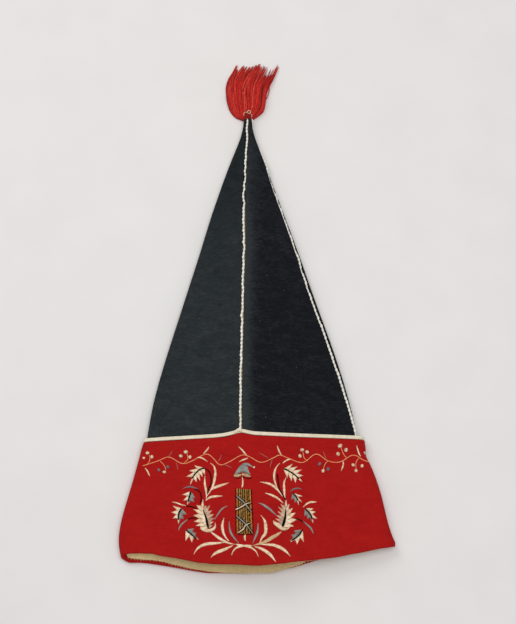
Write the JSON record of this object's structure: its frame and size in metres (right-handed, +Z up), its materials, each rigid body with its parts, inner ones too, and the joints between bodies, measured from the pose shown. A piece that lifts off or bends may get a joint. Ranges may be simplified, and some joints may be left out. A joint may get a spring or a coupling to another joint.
{
  "type": "pointed wool cap",
  "caption": "tall pointed cap of dark wool panels with cream piping, a red turned-up cuff with cream binding, a cream lining and a red tassel, lying flattened on its back",
  "frame": {"origin": "middle of the bounding box's bottom, on the surface that the cap lies on", "axes": "X across the flattened cap, +Y from the opening to the tip, +Z up from the surface it lies on"},
  "size_m": [0.2822, 0.5606, 0.0401],
  "materials": {
    "dark_wool_left": "fulled wool cloth, matt",
    "dark_wool_right": "fulled wool cloth, matt",
    "cream_cord": "twisted wool cord",
    "red_wool": "fulled wool cloth, matt",
    "cream_tape": "woven tape",
    "cream_linen": "plain-woven linen",
    "red_yarn": "loose wool yarn"
  },
  "bodies": {
    "root": {"crown_front_left": "dark_wool_left", "crown_front_right": "dark_wool_right", "crown_back_left": "dark_wool_left", "crown_back_right": "dark_wool_right", "seam_piping_front": "cream_cord", "seam_piping_left": "cream_cord", "seam_piping_back": "cream_cord", "seam_piping_right": "cream_cord", "cuff": "red_wool", "cuff_binding": "cream_tape", "lining": "cream_linen", "tassel": "red_yarn", "tassel_tie": "cream_cord"}
  },
  "joints": []
}
